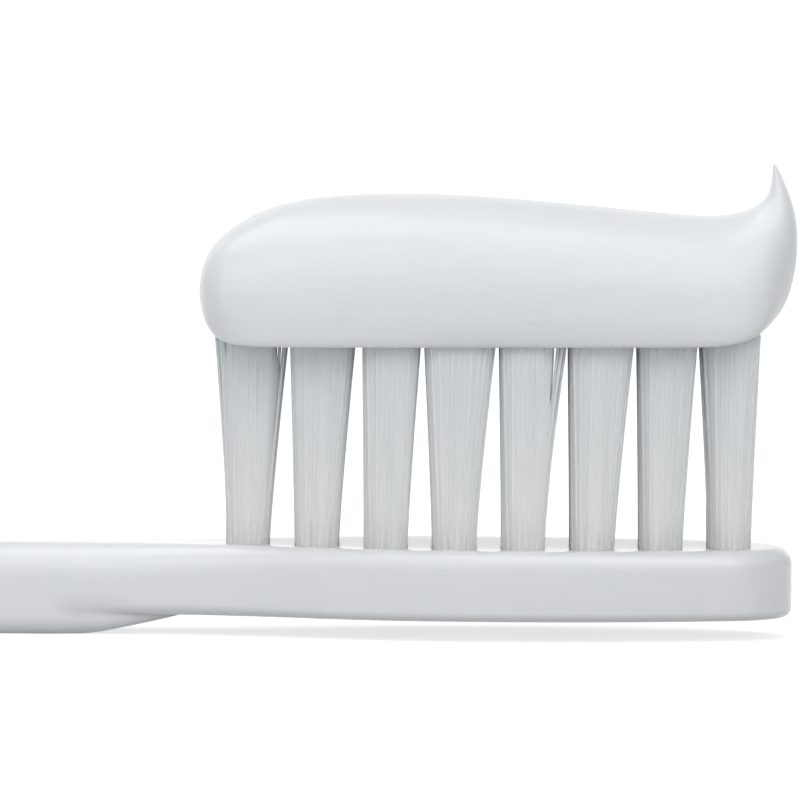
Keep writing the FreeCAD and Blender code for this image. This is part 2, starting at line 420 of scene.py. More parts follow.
def ring_places():
    places = []
    for step in range(END_STEPS + 1):
        angle = math.radians(90 * step / END_STEPS)
        places.append(TIP_X - NOSE_END * (1 - math.cos(angle)))
    x = TIP_X - NOSE_END
    tail_start = TAIL_X + GRIP_HALF_WIDTH
    while x > tail_start:
        x -= ring_step(x)
        places.append(max(x, tail_start))
    for step in range(1, END_STEPS + 1):
        angle = math.radians(90 * step / END_STEPS)
        places.append(tail_start - GRIP_HALF_WIDTH * math.sin(angle))
    return places


def outward(x):
    """Direction at right angles to the outline, in plan."""
    if x > TIP_X - 1e-6:
        return Vector((1, 0))
    if x < TAIL_X + 1e-6:
        return Vector((-1, 0))
    if TIP_X - x < NOSE_END:
        return Vector((x - (TIP_X - NOSE_RADIUS), half_width(x))).normalized()
    if x < TAIL_X + GRIP_HALF_WIDTH:
        return Vector((x - (TAIL_X + GRIP_HALF_WIDTH), half_width(x))).normalized()
    slope = (half_width(x + 0.001) - half_width(x - 0.001)) / 0.002
    return Vector((-slope, 1)).normalized()


print(len(ring_places()), "rings")

# %% [markdown]
# Each ring starts in the middle of the top, rolls over the rounded edge, goes down the side,
# round the lower edge and back under the handle. The rounded edge is measured at right angles
# to the outline, so it keeps its radius round the tip. Where the keel reaches only part of the
# way out, the neck's lower edge stops at the keel's side: that corner is the crease. Further
# back, the points of the corner are drawn towards each other until the crease is gone.

# %% Section of the handle
CAP_STEPS = 12
EDGE_STEPS = 12
WALL_STEPS = 4
FLAT_STEPS = 4
SOFTEN_PASSES = 30
SOFTEN_PULL = 0.7
KEEL_RADIUS_SHARE = 0.8


def arc_down(middle, out, radius, top, end=90.0):
    """Points of a rounded lower edge, from the side wall round to the given angle."""
    points = []
    for step in range(1, EDGE_STEPS + 1):
        angle = math.radians(end * step / EDGE_STEPS)
        spot = middle + out * radius * math.cos(angle)
        points.append((spot.x, spot.y, top - radius * math.sin(angle)))
    return points


def steps_between(start, end, count):
    return [tuple(Vector(start).lerp(Vector(end), step / count)) for step in range(1, count + 1)]


def soften(points, first, last, amount):
    """Let a corner of the section fade by drawing each point towards its neighbours."""
    spots = [Vector(point) for point in points]
    for _ in range(SOFTEN_PASSES):
        for i in range(first, last):
            between = (spots[i - 1] + spots[i + 1]) / 2
            spots[i] = spots[i].lerp(between, SOFTEN_PULL * amount)
    return [tuple(spot) for spot in spots]


def top_points(x, edge, out):
    """From the middle of the top over the rounded upper edge."""
    rounding = top_radius(x)
    top_edge = edge - out * rounding
    points = []
    for step in range(CAP_STEPS):
        points.append((top_edge.x, top_edge.y * step / CAP_STEPS, top_height(top_edge.x)))
    for step in range(EDGE_STEPS + 1):
        angle = math.radians(90 * step / EDGE_STEPS)
        spot = top_edge + out * rounding * math.sin(angle)
        points.append((spot.x, spot.y, top_height(spot.x) - rounding * (1 - math.cos(angle))))
    return points


def keel_share(x, keel_y, neck_y, edge_y):
    """How far out the keel reaches over the neck's rounded lower edge, from 0 to 1."""
    if x > KEEL_TIP_X:
        return 0.0
    if x > KEEL_FULL_X:
        return min(max((keel_y - neck_y) / (edge_y - neck_y), 0.0), 1.0)
    return 1.0


def half_ring(x):
    """Points from the middle of the top to the middle of the underside, on the +Y side."""
    edge = Vector((x, half_width(x)))
    out = outward(x)
    points = top_points(x, edge, out)

    neck_radius = bottom_radius(x)
    neck_edge = edge - out * neck_radius
    neck_top = UNDERSIDE_Z + neck_radius
    keel_edge = Vector((x, keel_half_width(x)))
    share = keel_share(x, keel_edge.y, neck_edge.y, edge.y)
    points += steps_between(points[-1], (edge.x, edge.y, neck_top), WALL_STEPS)
    crease_from = len(points) - 1
    points += arc_down(neck_edge, out, neck_radius, neck_top, math.degrees(math.acos(share)))
    if share == 0.0:
        keel_edge = Vector((neck_edge.x, min(keel_edge.y, neck_edge.y)))
    else:
        keel_edge = Vector(points[-1][:2])
    points += steps_between(points[-1], (keel_edge.x, keel_edge.y, points[-1][2]), FLAT_STEPS)

    floor = keel_floor(keel_edge.x)
    keel_radius = min(GRIP_BOTTOM_RADIUS, KEEL_RADIUS_SHARE * max(points[-1][2] - floor, 0.0))
    if x > KEEL_FULL_X:
        keel_radius = min(keel_radius, keel_edge.y)
    points += steps_between(points[-1], (keel_edge.x, keel_edge.y, floor + keel_radius), WALL_STEPS)
    crease_to = len(points) - 1
    middle = keel_edge - out * keel_radius
    points += arc_down(middle, out, keel_radius, floor + keel_radius)
    points += steps_between(points[-1], (points[-1][0], 0.0, points[-1][2]), FLAT_STEPS)
    if x <= KEEL_FULL_X:
        return points
    fade = eased(x, KEEL_TIP_X - CREASE_FADES_FROM, KEEL_TIP_X - CREASE_GONE_AT, 0.0, 1.0)
    return soften(points, crease_from, crease_to, fade)


print(len(half_ring(NECK_X)), "points in half a ring")

# %% [markdown]
# `mesh_from_rings` joins neighbouring rings by four-sided faces. At the tip and the tail all
# points of a ring fall on one line, so doubled points are merged and faces without area are
# dissolved, which closes the ends. Then the faces are turned outwards.

# %% Handle
def mesh_from_rings(name, rings):
    """A mesh of four-sided faces between rings that have the same number of points."""
    mesh_data = bmesh.new()
    rows = [[mesh_data.verts.new(Vector(spot) * MM) for spot in ring] for ring in rings]
    count = len(rings[0])
    for low, high in zip(rows, rows[1:]):
        for i in range(count):
            j = (i + 1) % count
            mesh_data.faces.new((low[i], low[j], high[j], high[i]))
    bmesh.ops.remove_doubles(mesh_data, verts=mesh_data.verts, dist=1e-7)
    bmesh.ops.dissolve_degenerate(mesh_data, edges=mesh_data.edges, dist=1e-8)
    bmesh.ops.recalc_face_normals(mesh_data, faces=mesh_data.faces)
    mesh = bpy.data.meshes.new(name)
    mesh_data.to_mesh(mesh)
    mesh_data.free()
    mesh.shade_smooth()
    piece = bpy.data.objects.new(name, mesh)
    bpy.context.scene.collection.objects.link(piece)
    return piece


def make_handle():
    rings = []
    for x in ring_places():
        far = half_ring(x)
        near = [(px, -py, pz) for px, py, pz in reversed(far[1:-1])]
        rings.append(far + near)
    return mesh_from_rings("handle_moulding", rings)


handle = make_handle()
handle.data.materials.append(handle_plastic)
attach(handle, "root")
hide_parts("handle")
print("handle:", len(handle.data.polygons), "faces")

# %% [markdown]
# Each tuft is a bundle of nylon filaments, folded into its hole and spread at the tips. The
# tufts stand in eight columns across the head, two or three in each, and the outer ones keep
# the same rim to the edge of the head. No column spreads or leans quite as the next does, and
# on three of them a few filaments on the front stand astray, as on any brush that has been
# handled. These values are kept in one list with a row for each tuft.

# %% Places of the tufts
COLUMN_PITCH = 3.12
FIRST_COLUMN = 2.9
TUFTS_IN_COLUMN = [2, 3, 3, 3, 3, 3, 2, 2]
RIM = 1.1
TUFT_RADIUS = 1.0

# For each column from the tip: half width at the tips, lean along +X, how unevenly it ends.
COLUMN_SPREAD = [1.30, 1.43, 1.54, 1.30, 1.70, 1.38, 1.56, 1.28]
COLUMN_LEAN = [0.10, 0.24, 0.36, 0.10, 0.20, 0.22, 0.24, 0.04]
COLUMN_LOOSE = [0.03, 0.02, 0.02, 0.02, 0.02, 0.02, 0.02, 0.04]

# Strays by column: how far they stand out at the tips, to -X and to +X, and where they part.
STRAYS = {0: (0.34, 0.0, 1.0), 3: (0.0, 0.72, 0.60), 7: (0.48, 0.56, 0.78)}
NO_STRAYS = (0.0, 0.0, 1.0)
ACROSS_LIMIT = 1.15


def tuft_places():
    """Node name, foot, half widths at the tips, lean, unevenness and strays of each tuft."""
    places = []
    for column, count in enumerate(TUFTS_IN_COLUMN):
        x = TIP_X - FIRST_COLUMN - column * COLUMN_PITCH
        outer = half_width(x) - RIM - TUFT_RADIUS
        pitch = 2 * outer / (count - 1)
        along = COLUMN_SPREAD[column]
        across = min(pitch / 2, ACROSS_LIMIT)
        for row in range(count):
            stray_back, stray_on, parted = STRAYS.get(column, NO_STRAYS) if row == 0 else NO_STRAYS
            places.append({
                "node": f"tuft_c{column + 1}_r{row + 1}",
                "foot": (x, row * pitch - outer),
                "along": along,
                "across": across,
                "lean": COLUMN_LEAN[column],
                "loose": COLUMN_LOOSE[column],
                "stray_back": stray_back,
                "stray_on": stray_on,
                "parted": parted,
            })
    return places


tufts = tuft_places()
print(len(tufts), "tufts")

# %% [markdown]
# One filament is repeated well over a thousand times, so Geometry Nodes make them. A tree that
# is built in a script needs many small steps, so these helpers each add one node, link its
# inputs, and hand back its output.

# %% Helpers that add one node each
def node_of(tree, kind, **values):
    node = tree.nodes.new(kind)
    for name, value in values.items():
        setattr(node, name, value)
    return node


def math_node(tree, operation, first, second=None):
    node = node_of(tree, "ShaderNodeMath", operation=operation)
    for slot, value in enumerate((first, second)):
        if value is None:
            continue
        if isinstance(value, (int, float)):
            node.inputs[slot].default_value = value
        else:
            tree.links.new(value, node.inputs[slot])
    return node.outputs[0]


def combine(tree, x, y, z):
    node = node_of(tree, "ShaderNodeCombineXYZ")
    for slot, value in enumerate((x, y, z)):
        if isinstance(value, (int, float)):
            node.inputs[slot].default_value = value
        else:
            tree.links.new(value, node.inputs[slot])
    return node.outputs[0]


def scaled(tree, vector, factor):
    node = node_of(tree, "ShaderNodeVectorMath", operation="SCALE")
    tree.links.new(vector, node.inputs[0])
    tree.links.new(factor, node.inputs["Scale"])
    return node.outputs["Vector"]


def read_float(tree, name):
    node = node_of(tree, "GeometryNodeInputNamedAttribute", data_type="FLOAT")
    node.inputs["Name"].default_value = name
    return node.outputs[0]


def read_vector(tree, name):
    node = node_of(tree, "GeometryNodeInputNamedAttribute", data_type="FLOAT_VECTOR")
    node.inputs["Name"].default_value = name
    return node.outputs[0]


def store(tree, geometry, name, kind, value):
    node = node_of(tree, "GeometryNodeStoreNamedAttribute", data_type=kind, domain="POINT")
    node.inputs["Name"].default_value = name
    tree.links.new(geometry, node.inputs["Geometry"])
    tree.links.new(value, node.inputs["Value"])
    return node.outputs["Geometry"]


def random_node(tree, low, high, seed, index):
    node = node_of(tree, "FunctionNodeRandomValue", data_type="FLOAT")
    node.inputs[2].default_value = low
    node.inputs[3].default_value = high
    tree.links.new(index, node.inputs["ID"])
    node.inputs["Seed"].default_value = seed
    return node.outputs[1]


print("node helpers ready")

# %% [markdown]
# The tree starts from one point for each tuft and copies it once for each filament. The copies
# stand round the rim of the tuft, each turned by the golden angle from the one before, which
# spreads them evenly. At the root they stand in a circle. At the tips the circle has become
# squarish, as tufts that press against each other do, so the tip is further out in the corners.
# What a filament moves sideways from root to tip is its bend.

# %% Where the filaments end
TIP_SQUARENESS = 4
GOLDEN_TURN = 2.39996
RIM_POWER = 0.1
STRAY_SIDE = 0.78
STRAY_FRONT = -0.15
NOT_STRAYING = 0.2


def squarish(tree, side, front):
    """How far a rounded square lies inside its corners' circle in a direction."""
    first = math_node(tree, "POWER", side, TIP_SQUARENESS)
    second = math_node(tree, "POWER", front, TIP_SQUARENESS)
    both = math_node(tree, "ADD", first, second)
    return math_node(tree, "POWER", both, 1 / TIP_SQUARENESS)


def astray(tree, number, index, side, front, back_by, on_by):
    """How far a filament on the front stands out to one side: all the way or half of it."""
    chosen = math_node(tree, "GREATER_THAN", random_node(tree, 0.0, 1.0, 6, index), NOT_STRAYING)
    chosen = math_node(tree, "MULTIPLY", chosen, math_node(tree, "LESS_THAN", front, STRAY_FRONT))
    line = math_node(tree, "ADD", math_node(tree, "MODULO", number, 2.0), 1.0)
    chosen = math_node(tree, "MULTIPLY", chosen, math_node(tree, "MULTIPLY", line, 0.5))
    on = math_node(tree, "MULTIPLY", math_node(tree, "GREATER_THAN", side, STRAY_SIDE), on_by)
    back = math_node(tree, "MULTIPLY", math_node(tree, "LESS_THAN", side, -STRAY_SIDE), back_by)
    return math_node(tree, "MULTIPLY", chosen, math_node(tree, "SUBTRACT", on, back))


def root_and_bend(tree, given, number, index):
    """Place of a filament in its hole, and the way its tip lies from there."""
    names = ("along", "across", "lean", "loose", "twist", "stray_back", "stray_on")
    along, across, lean, loose, twist, stray_back, stray_on = (
        read_float(tree, name) for name in names
    )
    share = math_node(tree, "DIVIDE", math_node(tree, "ADD", number, 0.5), given["Filaments"])
    reach = math_node(tree, "POWER", share, RIM_POWER)
    turn = math_node(tree, "ADD", math_node(tree, "MULTIPLY", number, GOLDEN_TURN), twist)
    side = math_node(tree, "COSINE", turn)
    front = math_node(tree, "SINE", turn)
    root_reach = math_node(tree, "MULTIPLY", reach, given["Root radius"])
    root_x = math_node(tree, "MULTIPLY", side, root_reach)
    root_y = math_node(tree, "MULTIPLY", front, root_reach)

    tip_reach = math_node(tree, "DIVIDE", reach, squarish(tree, side, front))
    slack = math_node(tree, "MULTIPLY", random_node(tree, 0.0, 1.0, 4, index), loose)
    slack_reach = math_node(tree, "MULTIPLY", tip_reach, math_node(tree, "SUBTRACT", 1.0, slack))
    tip_x = math_node(tree, "MULTIPLY", math_node(tree, "MULTIPLY", side, slack_reach), along)
    out = astray(tree, number, index, side, front, stray_back, stray_on)
    tip_x = math_node(tree, "ADD", math_node(tree, "ADD", tip_x, lean), out)
    tip_y = math_node(tree, "MULTIPLY", math_node(tree, "MULTIPLY", front, tip_reach), across)

    root = combine(tree, root_x, root_y, math_node(tree, "MULTIPLY", given["Sunk"], -1.0))
    bend_x = math_node(tree, "SUBTRACT", tip_x, root_x)
    bend_y = math_node(tree, "SUBTRACT", tip_y, root_y)
    return root, combine(tree, bend_x, bend_y, 0.0)


print("filaments end in a rounded square of power", TIP_SQUARENESS)

# %% [markdown]
# A filament itself is a straight thin rod with six sides. It is one unit long and remembers how
# far up each of its points is. Every copy is stretched to its length, and after Realize
# Instances its points are shifted by their share of the bend, so the rod becomes a soft bow.

# %% Tree of the filaments
SHORTEST_SHARE = 0.965
ROD_SIDES = 6
ROD_SEGMENTS = 5


def unit_rod(tree, radius):
    """A rod from 0 to 1 along Z that stores how far up each point is."""
    rod = node_of(tree, "GeometryNodeMeshCylinder", fill_type="NGON")
    rod.inputs["Vertices"].default_value = ROD_SIDES
    rod.inputs["Side Segments"].default_value = ROD_SEGMENTS
    rod.inputs["Depth"].default_value = 1.0
    tree.links.new(radius, rod.inputs["Radius"])
    lift = node_of(tree, "GeometryNodeTransform")
    lift.inputs["Translation"].default_value = (0, 0, 0.5)
    tree.links.new(rod.outputs["Mesh"], lift.inputs["Geometry"])
    apart = node_of(tree, "ShaderNodeSeparateXYZ")
    tree.links.new(node_of(tree, "GeometryNodeInputPosition").outputs[0], apart.inputs[0])
    return store(tree, lift.outputs["Geometry"], "share_of_length", "FLOAT", apart.outputs["Z"])


def bowed(tree, geometry, power):
    """The rods shifted sideways by their bend, more and more towards the tip."""
    bow = math_node(tree, "POWER", read_float(tree, "share_of_length"), power)
    shift = scaled(tree, read_vector(tree, "bend"), bow)
    curve = node_of(tree, "GeometryNodeSetPosition")
    tree.links.new(geometry, curve.inputs["Geometry"])
    tree.links.new(shift, curve.inputs["Offset"])
    return curve.outputs["Geometry"]


def make_filament_tree():
    tree = bpy.data.node_groups.new("tuft_filaments", "GeometryNodeTree")
    face = tree.interface
    face.new_socket("Feet", in_out="INPUT", socket_type="NodeSocketGeometry")
    face.new_socket("Filaments", in_out="INPUT", socket_type="NodeSocketInt")
    for name in ("Root radius", "Filament radius", "Length", "Sunk", "Bow"):
        face.new_socket(name, in_out="INPUT", socket_type="NodeSocketFloat")
    face.new_socket("Nylon", in_out="INPUT", socket_type="NodeSocketMaterial")
    face.new_socket("Bristles", in_out="OUTPUT", socket_type="NodeSocketGeometry")
    given = node_of(tree, "NodeGroupInput").outputs
    result = node_of(tree, "NodeGroupOutput")

    points = node_of(tree, "GeometryNodeMeshToPoints")
    copies = node_of(tree, "GeometryNodeDuplicateElements", domain="POINT")
    tree.links.new(given["Feet"], points.inputs["Mesh"])
    tree.links.new(points.outputs["Points"], copies.inputs["Geometry"])
    tree.links.new(given["Filaments"], copies.inputs["Amount"])
    number = copies.outputs["Duplicate Index"]
    index = node_of(tree, "GeometryNodeInputIndex").outputs[0]
    root, bend = root_and_bend(tree, given, number, index)
    height = math_node(
        tree, "MULTIPLY", given["Length"], random_node(tree, SHORTEST_SHARE, 1.0, 5, index)
    )
    height = math_node(tree, "ADD", height, given["Sunk"])

    move = node_of(tree, "GeometryNodeSetPosition")
    tree.links.new(copies.outputs["Geometry"], move.inputs["Geometry"])
    tree.links.new(root, move.inputs["Offset"])
    keep_bend = store(tree, move.outputs["Geometry"], "bend", "FLOAT_VECTOR", bend)

    stand = node_of(tree, "GeometryNodeInstanceOnPoints")
    tree.links.new(keep_bend, stand.inputs["Points"])
    tree.links.new(unit_rod(tree, given["Filament radius"]), stand.inputs["Instance"])
    tree.links.new(combine(tree, 1.0, 1.0, height), stand.inputs["Scale"])
    real = node_of(tree, "GeometryNodeRealizeInstances")
    tree.links.new(stand.outputs["Instances"], real.inputs["Geometry"])

    smooth = node_of(tree, "GeometryNodeSetShadeSmooth")
    finish = node_of(tree, "GeometryNodeSetMaterial")
    tree.links.new(bowed(tree, real.outputs["Geometry"], given["Bow"]), smooth.inputs["Geometry"])
    tree.links.new(smooth.outputs["Geometry"], finish.inputs["Geometry"])
    tree.links.new(given["Nylon"], finish.inputs["Material"])
    tree.links.new(finish.outputs["Geometry"], result.inputs["Bristles"])
    return tree


filament_tree = make_filament_tree()
print("tree with", len(filament_tree.nodes), "nodes")

# %% [markdown]
# The tree runs on a small mesh that has one point for each tuft. Each point carries its tuft's
# values as attributes: half widths at the tips, lean, unevenness, strays and a twist, so that
# no two tufts have the same pattern. The result is then turned into a plain mesh, because the
# finished piece has to be ordinary geometry.

# %% Bristles
FILAMENTS_PER_TUFT = 76
FILAMENT_RADIUS = 0.075
ROOT_SUNK = 0.3
BOW = 1.2
TWIST_PER_TUFT = 1.7


def plain_copy(name, source):
    """An ordinary mesh object from what the modifiers of another object make."""
    bpy.context.view_layer.update()
    seen = source.evaluated_get(bpy.context.evaluated_depsgraph_get())
    mesh = bpy.data.meshes.new_from_object(seen)
    mesh.name = name
    mesh.materials.clear()
    mesh.materials.append(nylon)
    mesh.polygons.foreach_set("material_index", [0] * len(mesh.polygons))
    piece = bpy.data.objects.new(name, mesh)
    bpy.context.scene.collection.objects.link(piece)
    bpy.data.objects.remove(source)
    return piece


def make_feet():
    """One point for each tuft, with its values."""
    mesh = bpy.data.meshes.new("tuft_feet")
    mesh.from_pydata([Vector((*tuft["foot"], FACE_Z)) * MM for tuft in tufts], [], [])
    for name in ("along", "across", "lean", "stray_back", "stray_on"):
        thin = FILAMENT_RADIUS if name in ("along", "across") else 0.0
        values = mesh.attributes.new(name, "FLOAT", "POINT")
        values.data.foreach_set("value", [(tuft[name] - thin) * MM for tuft in tufts])
    loose = mesh.attributes.new("loose", "FLOAT", "POINT")
    loose.data.foreach_set("value", [tuft["loose"] for tuft in tufts])
    twist = mesh.attributes.new("twist", "FLOAT", "POINT")
    twist.data.foreach_set("value", [TWIST_PER_TUFT * i for i in range(len(tufts))])
    feet = bpy.data.objects.new("tuft_feet", mesh)
    bpy.context.scene.collection.objects.link(feet)
    return feet


def make_bristles():
    feet = make_feet()
    grow = feet.modifiers.new("filaments", "NODES")
    grow.node_group = filament_tree
    values = {
        "Filaments": FILAMENTS_PER_TUFT,
        "Root radius": (TUFT_RADIUS - FILAMENT_RADIUS) * MM,
        "Filament radius": FILAMENT_RADIUS * MM,
        "Length": BRISTLE_LENGTH * MM,
        "Sunk": ROOT_SUNK * MM,
        "Bow": BOW,
        "Nylon": nylon,
    }
    for item in filament_tree.interface.items_tree:
        if item.in_out == "INPUT" and item.name in values:
            grow[item.identifier] = values[item.name]
    return plain_copy("bristle_filaments", feet)


bristles = make_bristles()
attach(bristles, "root")
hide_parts(*[tuft["node"] for tuft in tufts])
print("bristles:", len(bristles.data.polygons), "faces,", len(bristles.data.materials), "material")

# %% [markdown]
# The filaments in the middle of a tuft lie so close that light scatters between them and the
# tuft looks like one milky block with fine streaks. Modelling each of those would only make
# dark gaps, so a slender core fills the middle of each tuft and the filaments stand round it.
# The core has the same circle at the root and the same rounded square at the tips, a little
# further in. Where filaments stand astray it goes along with them up to where they part from
# the bundle, and ends below the tips, inside the toothpaste.

# %% Cores of the tufts
CORE_INSET = 0.06
CORE_SIDES = 48
CORE_LEVELS = 18
CORE_BELOW_TIPS = 0.3
CORE_FLARE = 0.75
CORE_NARROWS = 1.1
PARTING_LENGTH = 0.12


def core_ring(tuft, height):
    share = max(height + ROOT_SUNK, 0.0) / (BRISTLE_LENGTH + ROOT_SUNK)
    bow = share ** BOW
    root = TUFT_RADIUS - CORE_INSET
    along = (tuft["along"] - CORE_INSET) * (1 - CORE_NARROWS * tuft["loose"])
    across = tuft["across"] - CORE_INSET
    parted = tuft["parted"]
    flare = CORE_FLARE * eased(share, parted, parted + PARTING_LENGTH, 1.0, 0.0)
    x, y = tuft["foot"]
    ring = []
    for step in range(CORE_SIDES):
        angle = 2 * math.pi * step / CORE_SIDES
        side = math.cos(angle)
        front = math.sin(angle)
        square = (side ** TIP_SQUARENESS + front ** TIP_SQUARENESS) ** (1 / TIP_SQUARENESS)
        out = tuft["stray_on"] * max(side, 0) ** 2 - tuft["stray_back"] * min(side, 0) ** 2
        ring.append((
            x + side * root + (tuft["lean"] + flare * out + side * (along / square - root)) * bow,
            y + front * root + front * (across / square - root) * bow,
            FACE_Z + height,
        ))
    return ring


def make_cores():
    whole = bmesh.new()
    rise = (BRISTLE_LENGTH - CORE_BELOW_TIPS + ROOT_SUNK) / CORE_LEVELS
    for tuft in tufts:
        rows = []
        for level in range(CORE_LEVELS + 1):
            ring = core_ring(tuft, level * rise - ROOT_SUNK)
            rows.append([whole.verts.new(Vector(spot) * MM) for spot in ring])
        for low, high in zip(rows, rows[1:]):
            for i in range(CORE_SIDES):
                j = (i + 1) % CORE_SIDES
                whole.faces.new((low[i], low[j], high[j], high[i]))
        whole.faces.new(list(reversed(rows[0])))
        whole.faces.new(rows[-1])
    mesh = bpy.data.meshes.new("tuft_cores")
    whole.to_mesh(mesh)
    whole.free()
    mesh.shade_smooth()
    cores = bpy.data.objects.new("tuft_cores", mesh)
    bpy.context.scene.collection.objects.link(cores)
    return cores


cores = make_cores()
cores.data.materials.append(nylon)
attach(cores, "root")
print("cores:", len(cores.data.polygons), "faces")

# %% [markdown]
# The toothpaste is drawn out as one ribbon, so its shape is a row of arched sections. Each row
# of the list below is one section, from the blunt end over the neck to the thin curl that
# the nozzle left when it was pulled away. A section is flat where it lies on the bristles, and
# an oval where its foot has left them, as a soft rope of gel would be.

# %% Sections of the toothpaste
PASTE_LENGTH = 27.25
PASTE_HALF_WIDTH = 5.0
PASTE_HEIGHT = 6.8
PASTE_SUNK = 0.8
PASTE_PAST_TIP = 0.16
PASTE_FOOT_Z = TIPS_Z - PASTE_SUNK
PASTE_START_X = TIP_X + PASTE_PAST_TIP - PASTE_LENGTH
PASTE_START = (0.0, 0.32)
PASTE_END = (0.957, 1.22)

# Top along and up, foot along and up, half width, as shares of length, height and half width.
PASTE_STATIONS = [
    (0.006, 0.50, 0.009, 0.14, 0.45),
    (0.021, 0.635, 0.029, 0.04, 0.68),
    (0.054, 0.76, 0.064, 0.0, 0.84),
    (0.105, 0.877, 0.126, 0.0, 0.93),
    (0.168, 0.953, 0.185, 0.0, 0.97),
    (0.300, 1.0, 0.300, 0.0, 1.0),
    (0.469, 0.985, 0.469, 0.0, 1.0),
    (0.637, 0.926, 0.640, 0.0, 0.99),
    (0.771, 0.877, 0.787, 0.0, 0.96),
    (0.838, 0.853, 0.880, 0.0, 0.90),
    (0.883, 0.865, 0.938, 0.05, 0.80),
    (0.918, 0.903, 0.977, 0.215, 0.64),
    (0.938, 0.951, 0.993, 0.41, 0.48),
    (0.949, 1.012, 1.000, 0.632, 0.36),
    (0.953, 1.07, 0.996, 0.868, 0.26),
    (0.955, 1.14, 0.981, 1.037, 0.16),
    (0.956, 1.187, 0.967, 1.16, 0.07),
]

# Half of a section from its foot to its crown, as shares of half width and height.
PASTE_SIDE = [
    (0.0, 0.0), (0.5, 0.0), (0.9, 0.0), (0.965, 0.0), (0.995, 0.04), (1.01, 0.18),
    (1.0, 0.36), (0.95, 0.55), (0.8, 0.77), (0.5, 0.93), (0.22, 0.985),
]
PASTE_FOOT_RISE = 0.0077
OVAL_FROM_FOOT_UP = 0.3


def paste_spot(along, up, across=0.0):
    x = PASTE_START_X + along * PASTE_LENGTH
    rise = PASTE_FOOT_RISE * (along - 0.5) * PASTE_LENGTH * max(1 - up, 0.0)
    return (x, across * PASTE_HALF_WIDTH, PASTE_FOOT_Z + up * PASTE_HEIGHT + rise)


def paste_side(foot_up):
    """Half of a section: flat-footed on the tufts, and an oval where its foot has left them."""
    oval = eased(foot_up, 0.0, OVAL_FROM_FOOT_UP, 0.0, 1.0)
    points = []
    for step, (across, share) in enumerate(PASTE_SIDE):
        angle = math.pi * step / len(PASTE_SIDE)
        across += (math.sin(angle) - across) * oval
        share += ((1 - math.cos(angle)) / 2 - share) * oval
        points.append((across, share))
    return points


def paste_ring(station):
    top_along, top_up, foot_along, foot_up, width = station
    side = paste_side(foot_up)
    near = [(-across, share) for across, share in reversed(side[1:])]
    ring = []
    for across, share in side + [(0.0, 1.0)] + near:
        along = foot_along + (top_along - foot_along) * share
        up = foot_up + (top_up - foot_up) * share
        ring.append(paste_spot(along, up, width * across))
    return ring


print(len(PASTE_STATIONS), "sections of", len(paste_ring(PASTE_STATIONS[0])), "points")

# %% [markdown]
# The sections are joined as the handle's rings are, and each end closes in one point. The cage
# is coarse, so a subdivision surface rounds the whole ribbon and keeps its curl smooth.

# %% Toothpaste
ROUNDING_LEVELS = 3


def make_paste():
    count = 2 * len(PASTE_SIDE)
    start = [paste_spot(*PASTE_START)] * count
    end = [paste_spot(*PASTE_END)] * count
    rings = [start] + [paste_ring(station) for station in PASTE_STATIONS] + [end]
    return mesh_from_rings("toothpaste_ribbon", rings)


paste = make_paste()
paste.data.materials.append(gel)
rounding = paste.modifiers.new("rounding", "SUBSURF")
rounding.levels = ROUNDING_LEVELS
rounding.render_levels = ROUNDING_LEVELS
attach(paste, "root")
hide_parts("toothpaste")
print("toothpaste:", len(paste.data.polygons), "faces before rounding")

# %% [markdown]
# The surroundings are white, but white walls would throw too much light on the brush. So what
# a camera, a mirror or a glass sees is kept apart from what gives light. The floor is a pale
# sheet that the grip lies on. Seen, it is white light plus what the lamps put there, so it melts
# into the white behind it but keeps the soft shadow of the brush. To all other rays it is
# ordinary matt paint, and the world around it is dim.

# %% What sees the surroundings
def seen_by_eye_or_gloss(nodes, links):
    """1 for rays from the camera, from gloss or through glass, and 0 for all others."""
    path = nodes.new("ShaderNodeLightPath")
    seen = path.outputs["Is Camera Ray"]
    for other in ("Is Glossy Ray", "Is Transmission Ray"):
        either = nodes.new("ShaderNodeMath")
        either.operation = "MAXIMUM"
        links.new(seen, either.inputs[0])
        links.new(path.outputs[other], either.inputs[1])
        seen = either.outputs[0]
    return seen


print("light path helper ready")

# %% Floor
FLOOR_REACH = 3.0
FLOOR_GLOW = 0.72
FLOOR_PAINT_SEEN = 0.6
FLOOR_PAINT = 0.53


def make_floor_paint():
    material = bpy.data.materials.new("pale_studio_floor")
    material.use_nodes = True
    nodes = material.node_tree.nodes
    links = material.node_tree.links
    nodes.clear()
    matt = nodes.new("ShaderNodeBsdfDiffuse")
    matt.inputs["Color"].default_value = (FLOOR_PAINT_SEEN, FLOOR_PAINT_SEEN, FLOOR_PAINT_SEEN, 1)
    dull = nodes.new("ShaderNodeBsdfDiffuse")
    dull.inputs["Color"].default_value = (FLOOR_PAINT, FLOOR_PAINT, FLOOR_PAINT, 1)
    glow = nodes.new("ShaderNodeEmission")
    glow.inputs["Strength"].default_value = FLOOR_GLOW
    both = nodes.new("ShaderNodeAddShader")
    choose = nodes.new("ShaderNodeMixShader")
    output = nodes.new("ShaderNodeOutputMaterial")
    links.new(matt.outputs[0], both.inputs[0])
    links.new(glow.outputs[0], both.inputs[1])
    links.new(seen_by_eye_or_gloss(nodes, links), choose.inputs["Fac"])
    links.new(dull.outputs[0], choose.inputs[1])
    links.new(both.outputs[0], choose.inputs[2])
    links.new(choose.outputs[0], output.inputs["Surface"])
    return material


def make_floor():
    mesh = bpy.data.meshes.new("studio_floor")
    near, far = -FLOOR_REACH, FLOOR_REACH
    corners = [(near, near, 0), (far, near, 0), (far, far, 0), (near, far, 0)]
    mesh.from_pydata(corners, [], [(0, 1, 2, 3)])
    floor = bpy.data.objects.new("studio_floor", mesh)
    bpy.context.scene.collection.objects.link(floor)
    floor.data.materials.append(make_floor_paint())
    return floor


floor = make_floor()
print("floor made")

# %% World
WORLD_LEVEL = 0.12


